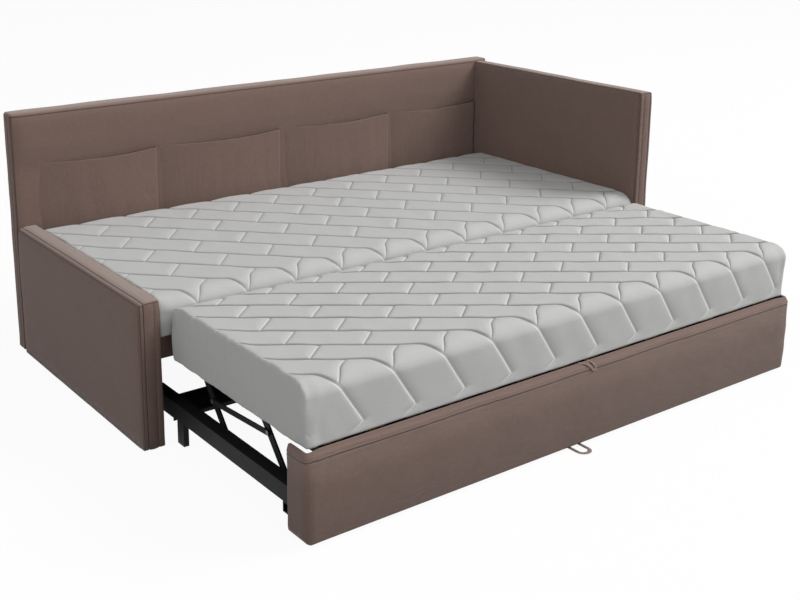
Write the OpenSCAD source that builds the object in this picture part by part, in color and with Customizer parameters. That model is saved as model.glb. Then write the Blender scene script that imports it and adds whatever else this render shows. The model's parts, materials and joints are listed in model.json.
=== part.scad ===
// Upholstered day bed with a second bed that rolls out from under it and pops up beside it.
// X runs along the bed, Y from the front (minus) to the back (plus), Z up.
// The origin is on the floor under the middle of the whole. The second bed is out and raised.

/* [Main bed] */
// Clear length between the two end panels
bed_l = 2000; // [1880:10:2120]
// Depth from the front of the end panels to the rear of the back
bed_d = 1002; // [980:1:1060]
// Thickness of the upholstered end panels
end_t = 72; // [64:1:90]
// Height of the low arm at the left end
arm_h = 462; // [450:1:560]
// Height of the tall end panel at the right end
side_h = 848; // [700:1:900]
// Height of the upholstered back
back_h = 856; // [780:1:920]
// Thickness of the upholstered back
back_t = 65; // [60:1:85]
// Foam and cover on each face of a wooden core
foam_t = 18; // [12:1:22]
// Rounding of the upholstered edges
edge_r = 9; // [4:1:14]
// Height of the glides under the end panels
glide_h = 4; // [3:0.5:8]
// Free height under the back
back_gap = 9; // [6:1:20]
// Width of the seam grooves in the covers
seam_w = 3; // [2:0.5:5]
// Depth of the seam grooves in the covers
seam_d = 1.5; // [1:0.5:3]

/* [Main base] */
// Height of the underside of the upholstered front rail
rail_z = 260; // [255:1:300]
// Height of the upholstered front rail
rail_h = 77; // [60:1:100]
// Thickness of the upholstered front rail
rail_t = 38; // [32:1:50]
// How far the front rail stands back from the front of the main mattress
rail_back = 25; // [15:1:35]
// Number of slats in the main base
slat_n = 16; // [10:1:20]
// Width of a main slat
slat_w = 60; // [40:1:70]
// Thickness of a main slat
slat_t = 12; // [8:1:16]
// Height and width of the wooden ledgers under the slats
ledger = 28; // [22:1:34]

/* [Back pads] */
// Height of the top corners of the back pads
pad_top = 676; // [620:1:740]
// Thickness of a back pad at its flush edge
pad_thin = 5; // [3:1:8]
// Thickness of a back pad at its proud edge
pad_thick = 19; // [12:1:20]
// How far the top of a back pad sags between its corners
pad_sag = 12; // [0:1:25]
// Distance of the outer pad seams from the middle of the bed
pad_seam_x = 531; // [480:1:580]

/* [Mattresses] */
// Thickness of the main mattress
mat_h = 120; // [90:1:140]
// Depth of the main mattress
mat_d = 900; // [870:1:902]
// Thickness of the pop-up mattress
pop_h = 178; // [140:1:190]
// Depth of the pop-up mattress
pop_d = 700; // [660:1:702]
// Height of the crown on top of each mattress
crown = 6; // [3:1:12]
// How far each mattress side is drawn in at its middle
pull_in = 4; // [0:1:8]
// Length of the main mattress's quilted fields along the bed
main_field_x = 176; // [150:1:220]
// Depth of the main mattress's quilted fields across the bed
main_field_y = 171.3; // [130:0.1:220]
// Length of the pop-up mattress's quilted fields along the bed
pop_field_x = 170; // [150:1:220]
// Depth of the pop-up mattress's quilted fields across the bed
pop_field_y = 127.5; // [100:0.5:180]
// Where a short quilting line meets the next long line, as a share of a field
field_share = 0.53; // [0.4:0.01:0.6]
// Depth of the quilting channels
channel_d = 8; // [4:1:12]

/* [Pull-out frame] */
// Gap from the end panels to the ends of the front panel
panel_gap = 20; // [12:1:30]
// How far the front panel's face is in front of the end panels
panel_out = 714; // [690:1:740]
// Depth of the front panel's folded ends
wing_d = 89; // [60:1:110]
// Thickness of the front panel's folded ends
wing_t = 14; // [12:1:20]
// Thickness of the front panel
panel_t = 21; // [18:1:26]
// Height of the underside of the front panel
panel_z = 8; // [6:1:14]
// Height of the top of the front panel
panel_top = 252; // [210:1:256]
// Rounding of the front panel's lower corners
panel_corner = 22; // [10:1:34]
// Width of the side beams
beam_w = 40; // [30:1:50]
// Height of the side beams
beam_h = 51; // [40:1:54]
// Height of the underside of the side beams
beam_z = 73; // [70:1:76]
// Wall of the steel tubes
tube_wall = 2.5; // [1.5:0.5:4]
// Width of the flat rear cross member
cross_w = 140; // [100:1:160]
// How far the beams reach behind the front of the end panels
beam_back = 167; // [150:1:190]
// Depth of a rear leg, along the beam
leg_d = 39; // [30:1:50]
// Thickness of a rear leg
leg_t = 17; // [12:1:22]
// Radius of the front rollers
roller_r = 24; // [18:1:28]
// Width of the front rollers
roller_w = 20; // [14:1:24]

/* [Lift linkage] */
// Distance between the two pivots of a lifting arm
arm_r = 200; // [190:1:204]
// Lean of the raised arms above the horizontal, in degrees
arm_lean = 49.3; // [46:0.1:52]
// Lean of the arms when the frame is down, in degrees
low_lean = 4.8; // [4.4:0.1:7]
// Distance of the front base pivots in front of the end panels
base_out = 521; // [500:1:540]
// Height of the front base pivots
base_z = 90; // [86:1:94]
// Distance between the front and rear base pivots, along the beam
link_span = 300; // [280:1:310]
// How much lower the rear base pivots are
link_drop = 22; // [18:1:26]
// Distance from a base pivot to the coupling bar's pivot
bar_r = 137; // [130:1:144]
// Width of a lifting arm
arm_w = 25; // [20:1:28]
// Width of a coupling bar
bar_w = 16; // [12:1:18]
// Radius of the pivot pins
pin_r = 5; // [4:0.5:6]
// Clearance of a pin in the bore of a hinge
pin_gap = 0.1; // [0.05:0.01:0.2]
// Clearance of a pin in the rear arms' middle and top bores
free_gap = 0.3; // [0.2:0.05:0.4]
// Height of the lift frame's tubes
lift_h = 34; // [28:1:40]
// Width of the lift frame's tubes
lift_w = 20; // [16:1:25]
// Number of slats on the lift frame
lift_slat_n = 14; // [8:1:18]
// Thickness of a slat on the lift frame
lift_slat_t = 10; // [8:1:12]

/* [Pull loops] */
// Width of the pull loops
loop_w = 54; // [44:1:70]
// Width of the strap of the pull loops
strap_w = 9; // [6:1:12]
// Thickness of the strap
strap_t = 2.4; // [1.5:0.1:3]
// How far the floor loop reaches in front of the front panel
loop_out = 55; // [40:1:80]
// Place of the floor loop along the bed
floor_loop_x = -25; // [-200:1:200]
// Place of the upper loop along the bed
lift_loop_x = 30; // [-200:1:200]

/* [Hidden] */

FABRIC = [0.45, 0.39, 0.36];
QUILT = [0.76, 0.76, 0.75];
STEEL = [0.10, 0.10, 0.11];
ZINC = [0.62, 0.63, 0.65];
WOOD = [0.80, 0.65, 0.45];
RUBBER = [0.16, 0.16, 0.17];
STRAP = [0.40, 0.35, 0.32];

eps = 0.01;
fine = 64;
round_n = 32;

// Places across the bed, from its middle outwards
in_x = bed_l / 2;
out_x = in_x + end_t;
panel_x = in_x - panel_gap;
wing_in_x = panel_x - wing_t;
wing_gap = 4;
pop_x = wing_in_x - wing_gap;
beam_side_gap = 6;
beam_out_x = wing_in_x - beam_side_gap;
beam_in_x = beam_out_x - beam_w;
plate_t = 3;
bar_t = 4;
link_t = 5.6;
swing_gap = 1;
head_gap = 0.2;
head_t = 1.2;
bar_x = beam_in_x - plate_t - swing_gap;
link_x = bar_x - bar_t - head_t - 2 * head_gap;
lift_x = link_x - link_t - head_t - 3 * head_gap - swing_gap;

// Places from front to back. front_y is the plane of the end panels' front edges
front_y = -(bed_d - panel_out - loop_out) / 2;
back_y = front_y + bed_d - back_t;
rear_y = back_y + back_t;
face_y = front_y - panel_out;
board_rear_y = face_y + panel_t;
mattress_gap = 8;
mat_side_gap = 4;
pad_gap = 3;
mat_y = back_y - pad_thick - pad_gap - mat_d;
rail_y = mat_y + rail_back;
pop_y = mat_y - mattress_gap - pop_d;

// Heights
rail_top = rail_z + rail_h;
ledger_z = rail_top - slat_t - ledger;
beam_top = beam_z + beam_h;
cross_t = 12;
foot_t = 4;

// Pivots of the lifting arms
front_base = [front_y - base_out, base_z];
rear_base = [front_base[0] + link_span, base_z - link_drop];
function along(base, r) = [base[0] + r * cos(arm_lean), base[1] + r * sin(arm_lean)];
front_top = along(front_base, arm_r);
rear_top = along(rear_base, arm_r);
pivot_below_top = 10;
lift_top = front_top[1] + pivot_below_top;
lift_z = lift_top - lift_h;
lift_front_y = board_rear_y + 21;
lift_rear_y = front_y - 20;
pop_z = lift_top + lift_slat_t;
// The lowered frame rests on rubber pads on the cross members
lift_drop = arm_r * (sin(arm_lean) - sin(low_lean));
rest_gap = 0.3;
stop_h = lift_z - lift_drop - beam_z - rest_gap;
roller_y = board_rear_y + 53;
front_cross_y = roller_y + roller_r + 10;
front_cross_w = 30;
bolt_r = 6;

// A rectangle centred on X, standing on the X axis, with its upper corners rounded
module arch(w, h, r) {
    translate([-w / 2, 0]) square([w, h - r]);
    translate([-w / 2 + r, 0]) square([w - 2 * r, h]);
    for (s = [-1, 1]) translate([s * (w / 2 - r), h - r]) circle(r, $fn = round_n);
}

// A rectangle centred on both axes, with rounded corners
module rounded(w, h, r) {
    square([w, h - 2 * r], center = true);
    square([w - 2 * r, h], center = true);
    for (x = [-1, 1], y = [-1, 1])
        translate([x * (w / 2 - r), y * (h / 2 - r)]) circle(r, $fn = round_n);
}

// An upholstered block: x by y in plan, h high, all upper and upright edges rounded
module soft_block(x, y, h, r) {
    intersection() {
        linear_extrude(h) rounded(x, y, r);
        translate([0, y / 2 + 1, 0]) rotate([90, 0, 0]) linear_extrude(y + 2) arch(x, h, r);
        translate([-x / 2 - 1, 0, 0]) rotate([90, 0, 90]) linear_extrude(x + 2) arch(y, h, r);
    }
}

// A hollow rectangular tube along Y, from y0 to y1, with its lower outer corner at x, z
module tube_y(x, z, w, h, y0, y1, wall) {
    translate([x, y1, z]) rotate([90, 0, 0]) linear_extrude(y1 - y0) difference() {
        square([w, h]);
        translate([wall, wall]) square([w - 2 * wall, h - 2 * wall]);
    }
}

// A hollow rectangular tube along X, centred on the bed, from y and z upwards
module tube_x(l, y, z, d, h, wall) {
    translate([-l / 2, y, z]) rotate([90, 0, 90]) linear_extrude(l) difference() {
        square([d, h]);
        translate([wall, wall]) square([d - 2 * wall, h - 2 * wall]);
    }
}

// A pin along X from x0 to x1 at a point of the Y-Z plane
module pin_x(x0, x1, at, r) {
    translate([x0, at[0], at[1]]) rotate([0, 90, 0]) cylinder(r = r, h = x1 - x0, $fn = fine);
}

// A flat bar in the Y-Z plane from a to b, t thick from x, w wide
module flat_bar(x, t, a, b, w) {
    l = norm(b - a);
    turn = atan2(b[1] - a[1], b[0] - a[0]);
    translate([x, a[0], a[1]]) rotate([turn, 0, 0]) rotate([90, 0, 90]) linear_extrude(t) {
        circle(w / 2, $fn = fine);
        translate([l, 0]) circle(w / 2, $fn = fine);
        translate([0, -w / 2]) square([l, w]);
    }
}

// The right side as drawn for s = 1, the left side as its mirror image for s = -1
module side(s) {
    if (s > 0) children();
    else mirror([1, 0, 0]) children();
}

// Wooden core of an end panel. It stands on the foam's lower edge line
module end_core(s, h) {
    d = back_y - front_y - 2 * foam_t;
    color(WOOD) side(s)
        translate([in_x + foam_t, front_y + foam_t, glide_h])
            cube([end_t - 2 * foam_t, d + foam_t, h - glide_h - foam_t]);
}

// Padded cover of an end panel, open at its underside, with seams beside the top and front strip
module end_cover(s, h) {
    d = back_y - front_y;
    inset = 26;
    color(FABRIC) side(s) difference() {
        translate([in_x + end_t / 2, front_y + d / 2, glide_h])
            soft_block(end_t, d, h - glide_h, edge_r);
        translate([in_x + foam_t, front_y + foam_t, glide_h - 1])
            cube([end_t - 2 * foam_t, d - foam_t + 1, h - glide_h - foam_t + 1]);
        for (x = [in_x, out_x - seam_d]) {
            translate([x - eps, front_y + inset, h - inset])
                cube([seam_d + 2 * eps, d - inset + 1, seam_w]);
            translate([x - eps, front_y + inset, glide_h - 1])
                cube([seam_d + 2 * eps, seam_w, h - inset - glide_h + 1]);
        }
    }
}

module left_arm_frame() end_core(-1, arm_h);
module left_arm_cover() end_cover(-1, arm_h);
module right_end_frame() end_core(1, side_h);
module right_end_cover() end_cover(1, side_h);

module back_frame() {
    color(WOOD) translate([-out_x + foam_t, back_y + foam_t, back_gap])
        cube([2 * (out_x - foam_t), back_t - 2 * foam_t, back_h - back_gap - foam_t]);
}

module back_cover() {
    seam_drop = 12;
    color(FABRIC) difference() {
        translate([0, back_y + back_t / 2, back_gap])
            soft_block(2 * out_x, back_t, back_h - back_gap, edge_r * 1.5);
        translate([-out_x + foam_t, back_y + foam_t, back_gap - 1])
            cube([2 * (out_x - foam_t), back_t - 2 * foam_t, back_h - back_gap - foam_t + 1]);
        translate([-out_x - 1, back_y - eps, back_h - seam_drop - seam_w - edge_r])
            cube([2 * out_x + 2, seam_d + eps, seam_w]);
    }
}

// A back pad: a wedge, thin at its left edge and proud at its right one, with a sagging top
module back_pad(x0, x1) {
    nx = 10;
    nz = 7;
    z0 = rail_top + 4;
    clear = 0.3;
    front = [for (j = [0:nz], i = [0:nx])
        let (s = i / nx, q = j / nz,
            swell = 1 - pow(2 * q - 1, 6),
            t = (pad_thick - (pad_thick - pad_thin) * pow(1 - s, 2.4)) * (0.35 + 0.65 * swell),
            top = pad_top - pad_sag * sin(180 * s) * (0.6 + 0.4 * s))
        [x0 + clear + (x1 - x0 - 2 * clear) * s, back_y - t, z0 + (top - z0) * q]];
    rear = [for (p = front) [p[0], back_y, p[2]]];
    n = len(front);
    w = nx + 1;
    function at(i, j) = j * w + i;
    faces = concat(
        [for (j = [0:nz - 1], i = [0:nx - 1]) [at(i, j), at(i + 1, j + 1), at(i + 1, j)]],
        [for (j = [0:nz - 1], i = [0:nx - 1]) [at(i, j), at(i, j + 1), at(i + 1, j + 1)]],
        [for (j = [0:nz - 1], i = [0:nx - 1]) [n + at(i, j), n + at(i + 1, j), n + at(i + 1, j + 1)]],
        [for (j = [0:nz - 1], i = [0:nx - 1]) [n + at(i, j), n + at(i + 1, j + 1), n + at(i, j + 1)]],
        [for (i = [0:nx - 1]) [at(i, 0), at(i + 1, 0), n + at(i + 1, 0)]],
        [for (i = [0:nx - 1]) [at(i, 0), n + at(i + 1, 0), n + at(i, 0)]],
        [for (i = [0:nx - 1]) [at(i, nz), n + at(i + 1, nz), at(i + 1, nz)]],
        [for (i = [0:nx - 1]) [at(i, nz), n + at(i, nz), n + at(i + 1, nz)]],
        [for (j = [0:nz - 1]) [at(0, j), n + at(0, j), n + at(0, j + 1)]],
        [for (j = [0:nz - 1]) [at(0, j), n + at(0, j + 1), at(0, j + 1)]],
        [for (j = [0:nz - 1]) [at(nx, j), n + at(nx, j + 1), n + at(nx, j)]],
        [for (j = [0:nz - 1]) [at(nx, j), at(nx, j + 1), n + at(nx, j + 1)]]);
    color(FABRIC) polyhedron(concat(front, rear), faces);
}

module outer_left_back_pad() back_pad(-in_x, -pad_seam_x);
module inner_left_back_pad() back_pad(-pad_seam_x, 0);
module inner_right_back_pad() back_pad(0, pad_seam_x);
module outer_right_back_pad() back_pad(pad_seam_x, in_x);

rail_foam = 8;

module front_rail_board() {
    color(WOOD) translate([-in_x, rail_y + rail_foam, rail_z + rail_foam])
        cube([2 * in_x, rail_t - 2 * rail_foam, rail_h - 2 * rail_foam]);
}

module front_rail_cover() {
    color(FABRIC) translate([-in_x, rail_y + rail_t / 2, rail_z + rail_h / 2])
        rotate([90, 0, 90]) linear_extrude(2 * in_x) difference() {
            rounded(rail_t, rail_h, rail_foam);
            square([rail_t - 2 * rail_foam, rail_h - 2 * rail_foam], center = true);
        }
}

// A wooden ledger along the bed
module ledger_x(y) {
    color(WOOD) translate([-in_x, y, ledger_z]) cube([2 * in_x, ledger, ledger]);
}

module front_ledger() ledger_x(rail_y + rail_t);
module rear_ledger() ledger_x(back_y - ledger);
module centre_beam() ledger_x((rail_y + rail_t + back_y - ledger) / 2);

module main_slats() {
    y0 = rail_y + rail_t + 1;
    l = back_y - pad_thick - 1 - y0;
    margin = slat_w / 2;
    step = (2 * (in_x - margin) - slat_w) / (slat_n - 1);
    color(WOOD) for (i = [0:slat_n - 1])
        translate([-in_x + margin + i * step, y0, ledger_z + ledger]) cube([slat_w, l, slat_t]);
}

// Rows of points round a mattress: straight sides drawn in at the middle, rounded corners
function outline(l, d, inset, z, pull, r) =
    let (hx = l / 2 - inset, hy = d / 2 - inset, c = max(r - inset, 4), m = 4, k = 2)
    [for (q = [0:3])
        let (along_x = q % 2 == 0, half = along_x ? hx : hy, off = along_x ? hy : hx)
        each concat(
            [for (j = [0:m]) let (s = j / m, u = -half + c + (2 * half - 2 * c) * s,
                v = -off + pull * sin(180 * s)) turned(u, v, q, z)],
            [for (j = [1:k - 1]) let (a = -90 + 90 * j / k)
                turned(half - c + c * cos(a), -off + c + c * sin(a), q, z)])];
function turned(u, v, q, z) =
    q == 0 ? [u, v, z] : q == 1 ? [-v, u, z] : q == 2 ? [-u, -v, z] : [v, -u, z];

// A mattress l by d by h on the floor of its own frame: round edges, drawn-in sides and a crown
module mattress_body(l, d, h) {
    r = 22;
    low_r = 9;
    top = h - crown;
    steps = [[low_r * 0.8, 0], [low_r * 0.2, low_r * 0.3], [0, low_r], [0, top - r],
        [r * 0.25, top - r * 0.3], [r, top], [r * 7, h]];
    rings = [for (s = steps) outline(l, d, s[0], s[1], pull_in, r * 1.6)];
    n = len(rings[0]);
    last = len(steps) - 1;
    points = concat([for (g = rings) each g], [[0, 0, 0], [0, 0, h]]);
    low = len(points) - 2;
    high = len(points) - 1;
    faces = concat(
        [for (k = [0:last - 1], i = [0:n - 1]) [k * n + i, (k + 1) * n + (i + 1) % n, k * n + (i + 1) % n]],
        [for (k = [0:last - 1], i = [0:n - 1]) [k * n + i, (k + 1) * n + i, (k + 1) * n + (i + 1) % n]],
        [for (i = [0:n - 1]) [low, i, (i + 1) % n]],
        [for (i = [0:n - 1]) [high, last * n + (i + 1) % n, last * n + i]]);
    polyhedron(points, faces);
}

// One sewn channel, a V in plan from a to b
module channel(a, b, h) {
    w = channel_d * 0.9;
    turn = atan2(b[1] - a[1], b[0] - a[0]);
    translate([a[0], a[1], h - channel_d]) rotate([0, 0, turn]) rotate([90, 0, 90])
        linear_extrude(norm(b - a))
            polygon([[0, 0], [w, channel_d + crown], [-w, channel_d + crown]]);
}

// A quilted mattress: long slanting channels, and short ones that part them like bricks.
// field is the size of one field along and across the bed, and start the place of one
// joint from the middle, as shares of a field
module mattress(l, d, h, field, start) {
    half = [l / 2, d / 2];
    slope = [field[0], -field[1]];
    cross = [-(1 - field_share) * field[0], -field_share * field[1]];
    lines = floor(half[0] / field[0] + half[1] / field[1]);
    rows = ceil(half[1] / field[1]) + 1;
    color(QUILT) difference() {
        mattress_body(l, d, h);
        for (i = [-lines:lines]) {
            at = [(start[0] + i) * field[0], start[1] * field[1]];
            channel(at - rows * slope, at + rows * slope, h);
            for (j = [-rows:rows]) {
                joint = at + j * slope;
                if (abs(joint[0]) < half[0] + field[0] / 2 && abs(joint[1]) < half[1] + field[1] / 2)
                    channel(joint, joint + cross, h);
            }
        }
    }
}

module main_mattress() {
    translate([0, mat_y + mat_d / 2, rail_top])
        mattress(2 * (in_x - mat_side_gap), mat_d, mat_h, [main_field_x, main_field_y], [-0.53, -0.12]);
}

module pop_up_mattress() {
    translate([0, pop_y + pop_d / 2, pop_z])
        mattress(2 * pop_x, pop_d, pop_h, [pop_field_x, pop_field_y], [-0.59, -0.29]);
}

module panel_glides() {
    r = 14;
    color(RUBBER) {
        for (s = [-1, 1], y = [front_y + 60, back_y - 60])
            translate([s * (in_x + end_t / 2), y, 0]) cylinder(r = r, h = glide_h, $fn = fine);
        for (x = [-out_x + 60, 0, out_x - 60])
            translate([x, back_y + back_t / 2, 0]) cylinder(r = r * 0.9, h = back_gap, $fn = fine);
    }
}

bracket_w = 60;

// An angle of plate in the corner between an end panel's inner face and a ledger's underside
module corner_bracket(y) {
    translate([in_x - plate_t, y, ledger_z - bracket_w]) cube([plate_t, ledger, bracket_w]);
    translate([in_x - bracket_w, y, ledger_z - plate_t]) cube([bracket_w - plate_t + eps, ledger, plate_t]);
}

module corner_brackets() {
    color(ZINC) for (s = [-1, 1], y = [rail_y + rail_t, back_y - ledger])
        side(s) corner_bracket(y);
}

module corner_bolts() {
    color(ZINC) for (s = [-1, 1], y = [rail_y + rail_t, back_y - ledger]) side(s) {
        translate([in_x - plate_t - 3, y + ledger / 2, ledger_z - bracket_w * 0.65])
            rotate([0, 90, 0]) cylinder(r = bolt_r, h = 3, $fn = 6);
        translate([in_x - bracket_w * 0.65, y + ledger / 2, ledger_z - plate_t - 3])
            cylinder(r = bolt_r, h = 3, $fn = 6);
    }
}

module beam(s) {
    color(STEEL) side(s)
        tube_y(beam_in_x, beam_z, beam_w, beam_h, board_rear_y, front_y + beam_back, tube_wall);
}

module left_beam() beam(-1);
module right_beam() beam(1);

// Plastic plugs in the rear ends of the beams
module beam_caps() {
    lip = 2;
    y = front_y + beam_back;
    color(RUBBER) for (s = [-1, 1]) side(s) {
        translate([beam_in_x, y, beam_z]) cube([beam_w, lip, beam_h]);
        translate([beam_in_x + tube_wall, y - 12, beam_z + tube_wall])
            cube([beam_w - 2 * tube_wall, 12 + eps, beam_h - 2 * tube_wall]);
    }
}

module front_cross_tube() {
    color(STEEL) tube_x(2 * beam_out_x, front_cross_y, beam_z - front_cross_w,
        front_cross_w, front_cross_w, tube_wall);
}

// The wide rear member is a sheet with its two edges folded down
module rear_cross_member() {
    y = front_y + beam_back - cross_w;
    color(STEEL) translate([-beam_out_x, y, beam_z - cross_t])
        rotate([90, 0, 90]) linear_extrude(2 * beam_out_x) difference() {
            square([cross_w, cross_t]);
            translate([tube_wall, -1]) square([cross_w - 2 * tube_wall, cross_t - tube_wall + 1]);
        }
}

leg_y = front_y - 34;

module leg(s) {
    color(STEEL) side(s) translate([beam_out_x - leg_t, leg_y, foot_t])
        linear_extrude(beam_z - foot_t) difference() {
            square([leg_t, leg_d]);
            translate([tube_wall, tube_wall]) square([leg_t - 2 * tube_wall, leg_d - 2 * tube_wall]);
        }
}

module left_leg() leg(-1);
module right_leg() leg(1);

module leg_feet() {
    plug = 10;
    color(RUBBER) for (s = [-1, 1]) side(s) translate([beam_out_x - leg_t, leg_y, 0]) {
        cube([leg_t, leg_d, foot_t]);
        translate([tube_wall, tube_wall, foot_t - eps])
            cube([leg_t - 2 * tube_wall, leg_d - 2 * tube_wall, plug]);
    }
}

// Plates on the beams' inner faces that hold the base pins
module base_brackets() {
    w = 44;
    color(STEEL) for (s = [-1, 1], p = [front_base, rear_base]) side(s) difference() {
        union() {
            translate([beam_in_x - plate_t, p[0] - w / 2, p[1]])
                cube([plate_t, w, beam_top - 8 - p[1]]);
            pin_x(beam_in_x - plate_t, beam_in_x, p, w / 2);
        }
        pin_x(beam_in_x - plate_t - 1, beam_in_x + 1, p, pin_r);
    }
}

// Base pins, held in the brackets, with a head on the inner side of each arm
module base_pins() {
    color(ZINC) for (s = [-1, 1], p = [front_base, rear_base]) side(s) {
        pin_x(link_x - link_t - head_gap, beam_in_x, p, pin_r);
        pin_x(link_x - link_t - head_gap - head_t, link_x - link_t - head_gap, p, pin_r * 1.8);
    }
}

// A lifting arm. play is the clearance of the pins in its middle and top bores
module lift_arm(s, base, play) {
    top = along(base, arm_r);
    x = link_x - link_t;
    color(STEEL) side(s) difference() {
        flat_bar(x, link_t, base, top, arm_w);
        pin_x(x - 1, link_x + 1, base, pin_r + pin_gap);
        for (p = [along(base, bar_r), top]) pin_x(x - 1, link_x + 1, p, pin_r + play);
    }
}

module left_front_arm() lift_arm(-1, front_base, pin_gap);
module right_front_arm() lift_arm(1, front_base, pin_gap);
module left_rear_arm() lift_arm(-1, rear_base, free_gap);
module right_rear_arm() lift_arm(1, rear_base, free_gap);

module coupling_bar(s) {
    a = along(front_base, bar_r);
    b = along(rear_base, bar_r);
    color(STEEL) side(s) difference() {
        flat_bar(bar_x - bar_t, bar_t, a, b, bar_w);
        for (p = [a, b]) pin_x(bar_x - bar_t - 1, bar_x + 1, p, pin_r);
    }
}

module left_coupling_bar() coupling_bar(-1);
module right_coupling_bar() coupling_bar(1);

// Pins of the coupling bars, through both arms, with a head on each side
module coupling_pins() {
    inner = link_x - link_t - head_gap;
    color(ZINC) for (s = [-1, 1], p = [along(front_base, bar_r), along(rear_base, bar_r)]) side(s) {
        pin_x(inner, bar_x, p, pin_r);
        pin_x(inner - head_t, inner, p, pin_r * 1.5);
        pin_x(bar_x, bar_x + swing_gap * 0.6, p, pin_r * 1.4);
    }
}

module lift_side_rail(s) {
    lug_r = 14;
    color(STEEL) side(s) difference() {
        union() {
            tube_y(lift_x - lift_w, lift_z, lift_w, lift_h, lift_front_y + lift_w,
                lift_rear_y - lift_w, tube_wall);
            pin_x(lift_x - tube_wall, lift_x, rear_top, lug_r);
        }
        for (p = [front_top, rear_top]) pin_x(lift_x - tube_wall - 1, lift_x + 1, p, pin_r);
    }
}

module left_lift_rail() lift_side_rail(-1);
module right_lift_rail() lift_side_rail(1);

// Top pins, held in the side rails, with a head on the outer side of each arm
module top_pins() {
    color(ZINC) for (s = [-1, 1], p = [front_top, rear_top]) side(s) {
        pin_x(lift_x - tube_wall, link_x + head_gap, p, pin_r);
        pin_x(link_x + head_gap, link_x + head_gap + head_t, p, pin_r * 1.6);
    }
}

module lift_front_rail() {
    color(STEEL) tube_x(2 * lift_x, lift_front_y, lift_z, lift_w, lift_h, tube_wall);
}

module lift_rear_rail() {
    color(STEEL) tube_x(2 * lift_x, lift_rear_y - lift_w, lift_z, lift_w, lift_h, tube_wall);
}

module lift_centre_rail() {
    y = (lift_front_y + lift_rear_y - lift_w) / 2;
    color(STEEL) tube_x(2 * (lift_x - lift_w), y, lift_z, lift_w, lift_h, tube_wall);
}

module lift_slats() {
    step = (2 * lift_x - slat_w - 10) / (lift_slat_n - 1);
    color(WOOD) for (i = [0:lift_slat_n - 1])
        translate([-lift_x + 5 + i * step, lift_front_y, lift_top])
            cube([slat_w, lift_rear_y - lift_front_y, lift_slat_t]);
}

// Forks under the beams that carry the front rollers
fork_gap = 1.5;

module roller_forks() {
    x = beam_out_x - beam_w / 2;
    inner = roller_w / 2 + fork_gap;
    half = roller_r / 2;
    foot = roller_r * 0.75;
    color(STEEL) for (s = [-1, 1]) side(s) difference() {
        union() {
            translate([x - inner - plate_t, roller_y - foot, beam_z - plate_t])
                cube([2 * (inner + plate_t), 2 * foot, plate_t]);
            for (e = [-1, 1]) translate([x + e * (inner + plate_t / 2) - plate_t / 2, roller_y, roller_r]) {
                translate([0, -half, 0]) cube([plate_t, 2 * half, beam_z - plate_t - roller_r + eps]);
                rotate([0, 90, 0]) cylinder(r = half, h = plate_t, $fn = fine);
            }
        }
        pin_x(x - inner - plate_t - 1, x + inner + plate_t + 1, [roller_y, roller_r], pin_r - 1);
    }
}

module roller_axles() {
    x = beam_out_x - beam_w / 2;
    half = roller_w / 2 + fork_gap + plate_t;
    color(ZINC) for (s = [-1, 1]) side(s)
        pin_x(x - half, x + half, [roller_y, roller_r], pin_r - 1);
}

// A roller with a shallow groove down each face
module roller(s) {
    x = beam_out_x - beam_w / 2;
    color(RUBBER) side(s) translate([x, roller_y, roller_r]) rotate([0, 90, 0])
        rotate_extrude($fn = fine) difference() {
            translate([pin_r - 1 + pin_gap, -roller_w / 2])
                square([roller_r - pin_r + 1 - pin_gap, roller_w]);
            for (e = [-1, 1]) translate([roller_r * 0.4, e * roller_w / 2 - (e > 0 ? 3 : 0)])
                square([roller_r * 0.4, 3]);
        }
}

module left_roller() roller(-1);
module right_roller() roller(1);

// Rubber pads on the cross members, on which the lowered frame rests
module stop_pads() {
    r = 9;
    color(RUBBER) for (s = [-1, 1], y = [front_cross_y + front_cross_w / 2,
        front_y + beam_back - cross_w + 14])
        translate([s * (lift_x - lift_w / 2), y, beam_z]) cylinder(r = r, h = stop_h, $fn = fine);
}

// The front panel's outline in plan: a board with its ends folded back round corners of r
module panel_plan(x, t, wing, depth, r) {
    translate([r - x, 0]) square([2 * (x - r), t]);
    for (s = [-1, 1]) {
        translate([s * (x - r), r]) circle(r, $fn = fine);
        translate([s * (x - wing / 2) - wing / 2, r]) square([wing, depth - r]);
    }
}

// Its outline from in front, with round lower corners, that goes on below the floor line by low
module panel_face(x, h, r, low) {
    translate([-x, r]) square([2 * x, h - r]);
    translate([r - x, -low]) square([2 * (x - r), r + low]);
    for (s = [-1, 1]) translate([s * (x - r), r]) circle(r, $fn = fine);
}

panel_foam = 8;
wing_foam = 5;

// The room that the board takes up, longer by more behind and below
module panel_core(more) {
    h = panel_top - panel_z - panel_foam;
    r = (wing_t - wing_foam) * 0.8;
    intersection() {
        translate([0, face_y + panel_foam, panel_z - more]) linear_extrude(h + more)
            panel_plan(panel_x - wing_foam, panel_t - panel_foam + more, wing_t - wing_foam + more,
                wing_d - panel_foam + more, r);
        translate([0, face_y + wing_d + more, panel_z]) rotate([90, 0, 0]) linear_extrude(wing_d + more)
            panel_face(panel_x - wing_foam, h, panel_corner, more);
    }
}

module front_panel_board() {
    color(WOOD) panel_core(0);
}

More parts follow.
